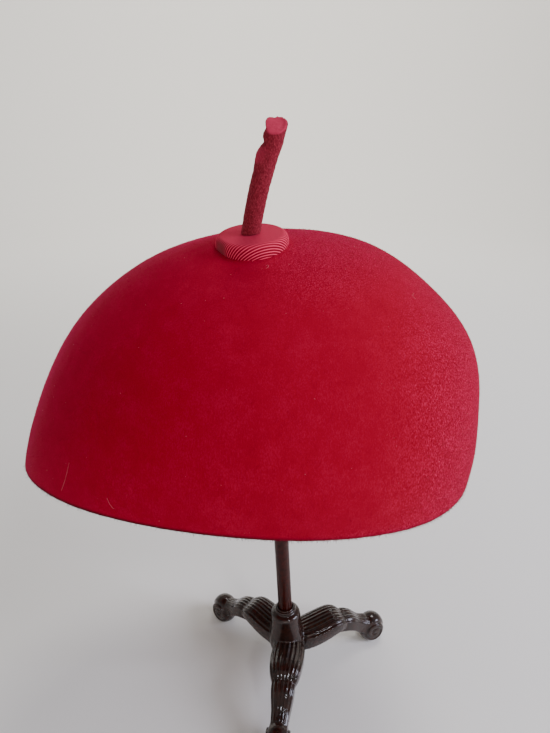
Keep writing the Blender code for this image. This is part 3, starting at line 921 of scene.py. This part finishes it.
# %% Stalk
def build_stalk():
    tip_place, tip_normal = stalk_cut()
    stalk = rounded_copy("stalk", "felt_stalk", stalk_finish(), levels=2, sharp=60.0)
    applied(
        stalk,
        ("REMESH", {"mode": "VOXEL", "voxel_size": STALK_CELL}),
        ("SMOOTH", {"factor": 0.5, "iterations": 8}),
    )
    points, normals = read_points(stalk.data), read_points(stalk.data, "normal")
    low, high = (corner.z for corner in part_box("felt_stalk"))
    share = (points[:, 2] - low) / (high - low)
    heights, lefts, rights = zip(*PINCHES)
    left = np.clip(-normals[:, 0], 0.0, 1.0) ** 1.5
    right = np.clip(normals[:, 0], 0.0, 1.0)
    push = left * np.interp(share, heights, lefts) + right * np.interp(share, heights, rights)
    push *= MM
    for step, (size, depth) in enumerate(WOOL_LUMPS):
        push += depth * MM * lumps(points, size * MM, SEED + 2 + step)
    push_points(stalk.data, push)
    cut = ease((points - tip_place) @ tip_normal, -0.5 * MM, -0.1 * MM)
    middle = (cut[:, None] * points).sum(0) / cut.sum()
    side, back = (points - middle)[:, 0], (points - middle)[:, 1]
    corner = cut * ease(-side, 0.0, 2.4 * MM) * ease(back, -0.4 * MM, 1.6 * MM)
    print("stalk's cut", np.round(1000 * middle, 1), "mm, corner points", int((corner > 0.5).sum()))
    move_points(stalk.data, read_points(stalk.data) + corner[:, None] * CORNER_PULL)
    flap = 0.9 * left * ease(share, *FLAP_FOOT) * ease(-share, *FLAP_HEAD)
    # Painted light on the cut and on the flap's left face.
    put_attribute(stalk.data, "cut", np.maximum(cut, flap))
    put_attribute(stalk.data, "grain_and_painted_light", 0.5 - 0.3 * cut)
    stalk.data.shade_smooth()
    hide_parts("felt_stalk")
    ride(stalk)


build_stalk()

# %% [markdown]
# ## The cast stand
#
# The hub and legs are iron cast in sand and then enamelled, nearly black. A bevel would round the
# edges, but not where the legs run into the hub. So the solid is subdivided, remade from small
# squares and eased, as a cast edge is. Under a clear coat the colour stays dark, and the coat
# alone gives the small, hard glints that tell the eye of enamel.

# %% Enamel and lacquer
# Enamel and lacquer settle into low ripples as they set, about this wide.
RIPPLE_WIDTH = 2.5 * MM


def enamel_finish(name, dark, light, rough, coat):
    gloss = {"Specular_IOR_Level": 0.1, "Coat_Weight": coat, "Coat_Roughness": 0.07}
    made, tree, shader, place = material(name, Roughness=rough, **gloss)
    fleck = grains(tree, place, RIPPLE_WIDTH, 4.0)
    colour = ramp(tree, fleck, ((0.35, dark), (0.65, light)))
    surface(tree, shader, colour, fleck, 0.2 * MM, 0.5)
    return made


# %% Scrolled toes
# Each toe is a scroll: a groove winds out over both its sides.
SCROLL_PITCH = 3.9 * MM
SCROLL_DEPTH = 0.7 * MM
TOE_MIDDLE = 8.4 * MM
TOE_RADIUS = 9.5 * MM


def scroll_grooves(points):
    """How deep the scroll's groove is at each point of the base, for all three toes."""
    feet = [np.array(mount["pos_m"]) for mount in frame["record"]["mounts"]]
    middle = sum(feet) / len(feet)
    deep = np.zeros(len(points))
    for foot in feet:
        outward = (foot - middle) / np.linalg.norm(foot - middle)
        away = points - foot - np.array((0.0, 0.0, TOE_MIDDLE))
        out, up = away @ outward, away[:, 2]
        side = away @ np.array((-outward[1], outward[0], 0.0))
        reach = np.hypot(out, up)
        turn = np.arctan2(up, -out) / (2.0 * math.pi)
        groove = 1.0 - 2.0 * np.abs((reach / SCROLL_PITCH - turn) % 1.0 - 0.5)
        on_toe = ease(np.abs(side), 2.0 * MM, 4.0 * MM) * (reach < TOE_RADIUS)
        deep += SCROLL_DEPTH * ease(groove, 0.45, 0.95) * on_toe
    return deep


# %% Cast base
CAST_CELL = 0.42 * MM


def build_base():
    finish = enamel_finish("black_enamel", "#180a06", "#2e150d", 0.5, 0.9)
    base = rounded_copy("base", "stand_base", finish, levels=1, sharp=65.0)
    applied(
        base,
        ("REMESH", {"mode": "VOXEL", "voxel_size": CAST_CELL}),
        ("SMOOTH", {"factor": 0.5, "iterations": 3}),
    )
    push_points(base.data, -scroll_grooves(read_points(base.data)))
    # Each toe is ground flat where it stands.
    points = read_points(base.data)
    points[:, 2] = np.maximum(points[:, 2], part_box("stand_base")[0].z)
    move_points(base.data, points)
    base.data.shade_smooth()
    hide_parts("stand_base")
    ride(base)


build_base()

# %% [markdown]
# ## The collar
#
# The hub is bored a little wider than the rod. A thin rolled collar fills the mouth of the bore,
# so the rod doesn't rattle. A torus is nearly it, but the collar is flat where it meets the hub.
# It is turned here from a short profile, on the rod's own axis, because the rod leans.

# %% The collar's profile and place
ROD_RADIUS = 4.0 * MM
# Each row is a point of the collar's section, going round it: millimetres out from the rod and up
# from the hub's mouth.
COLLAR_SECTION = ((0.05, -1.0), (0.9, -1.0), (1.25, 0.0), (1.0, 0.45), (0.5, 0.55), (0.05, 0.3))
COLLAR_SIDES = 64


def rod_ends():
    """The middles of the rod's two ends."""
    built = merged_copy("stand_rod")
    heights = [vert.co.z for vert in built.verts]
    cut = 0.5 * (min(heights) + max(heights))
    groups = [[v.co.copy() for v in built.verts if (v.co.z > cut) == high] for high in (0, 1)]
    built.free()
    return [sum(group, Vector()) / len(group) for group in groups]


# %% Collar
def build_collar(finish):
    foot, head = rod_ends()
    axis = (head - foot).normalized()
    mouth = foot + axis * ((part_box("stand_base")[1].z - foot.z) / axis.z)
    turn = axis.to_track_quat("Z", "Y").to_matrix()
    verts = []
    for out, up in COLLAR_SECTION:
        for index in range(COLLAR_SIDES):
            angle = 2.0 * math.pi * index / COLLAR_SIDES
            reach = ROD_RADIUS + out * MM
            flat = Vector((reach * math.cos(angle), reach * math.sin(angle), up * MM))
            verts.append(mouth + turn @ flat)
    faces = []
    for row in range(len(COLLAR_SECTION)):
        low, high = row * COLLAR_SIDES, (row + 1) % len(COLLAR_SECTION) * COLLAR_SIDES
        for index in range(COLLAR_SIDES):
            after = (index + 1) % COLLAR_SIDES
            faces.append((low + index, low + after, high + after, high + index))
    mesh = bpy.data.meshes.new("collar")
    mesh.from_pydata(verts, [], faces)
    collar = new_object("collar", mesh, finish)
    applied(collar, ("SUBSURF", {"levels": 2, "render_levels": 2}))
    collar.data.shade_smooth()
    ride(collar)


build_collar(bpy.data.materials["black_enamel"])

# %% [markdown]
# ## The rod and the cap
#
# The rod is drawn steel under brown lacquer, which lets a little red through. The cap inside the
# hat is turned from beech and left plain, as nobody sees it. New cylinders would need their sizes
# again. Both are round, so their copies are subdivided until no facet shows.

# %% Rod
lacquer = enamel_finish("brown_lacquer", "#260703", "#3a0e07", 0.4, 0.3)
rod = rounded_copy("rod", "stand_rod", lacquer, levels=2, sharp=40.0)
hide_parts("stand_rod")
ride(rod)


# %% Cap
# The wave texture makes a band in each 0.314 of its own units, so this is one in each 5.2 mm.
WOOD_SCALE = 60.0


def wood_finish():
    """Beech off the lathe: fine bands of brown, with no polish on them."""
    made, tree, shader, place = material("turned_beech", Roughness=0.6)
    rings = {"Vector": place, "Scale": WOOD_SCALE, "Distortion": 6.0, "Detail": 3.0}
    grain = add(tree, "ShaderNodeTexWave", rings).outputs["Fac"]
    surface(tree, shader, ramp(tree, grain, ((0.2, "#8a6238"), (0.8, "#b58a58"))), grain, 0.05 * MM)
    return made


cap = rounded_copy("cap", "stand_cap", wood_finish(), levels=1, sharp=40.0)
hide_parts("stand_cap")
ride(cap)

# %% [markdown]
# ## Hand over
#
# The names of all the materials are printed. What is seen reaches a millimetre or so past the CAD
# model, which is the nap.

# %% Hand over
print("materials", [made.name for made in bpy.data.materials])
